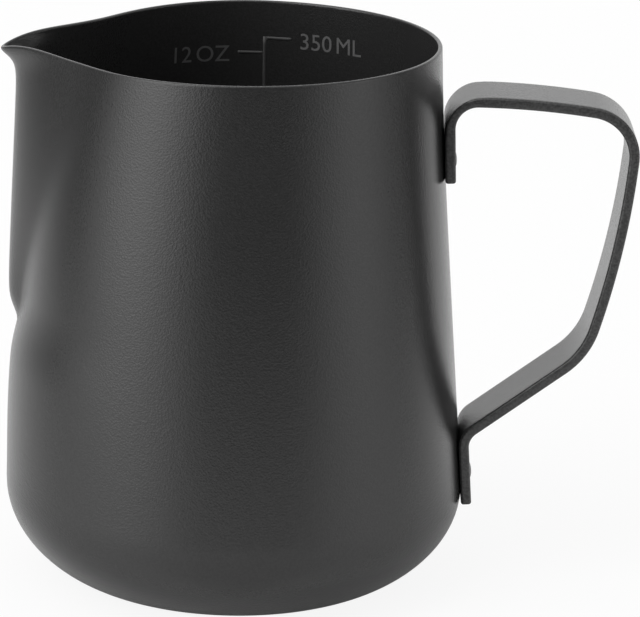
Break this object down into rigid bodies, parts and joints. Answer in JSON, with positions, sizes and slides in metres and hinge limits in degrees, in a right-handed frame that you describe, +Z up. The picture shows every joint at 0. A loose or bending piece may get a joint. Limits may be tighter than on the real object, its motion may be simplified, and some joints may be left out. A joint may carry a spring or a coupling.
{
  "type": "milk frothing pitcher",
  "caption": "Small black-coated steel milk pitcher with a tapered round body, a pointed pressed spout and a strap handle bent from flat bar and welded to the wall.",
  "frame": {"origin": "on the shell's axis, in the plane of the resting face", "axes": "+Z up; the handle points to +X and the spout to -X; the shape is mirrored about the XZ plane"},
  "size_m": [0.108, 0.0788, 0.093],
  "materials": {
    "shell_coating": "satin",
    "strap_coating": "satin",
    "weld_coating": "satin"
  },
  "bodies": {
    "root": {"body_shell": "shell_coating", "handle_strap": "strap_coating", "upper_weld": "weld_coating", "lower_weld": "weld_coating"}
  },
  "joints": []
}
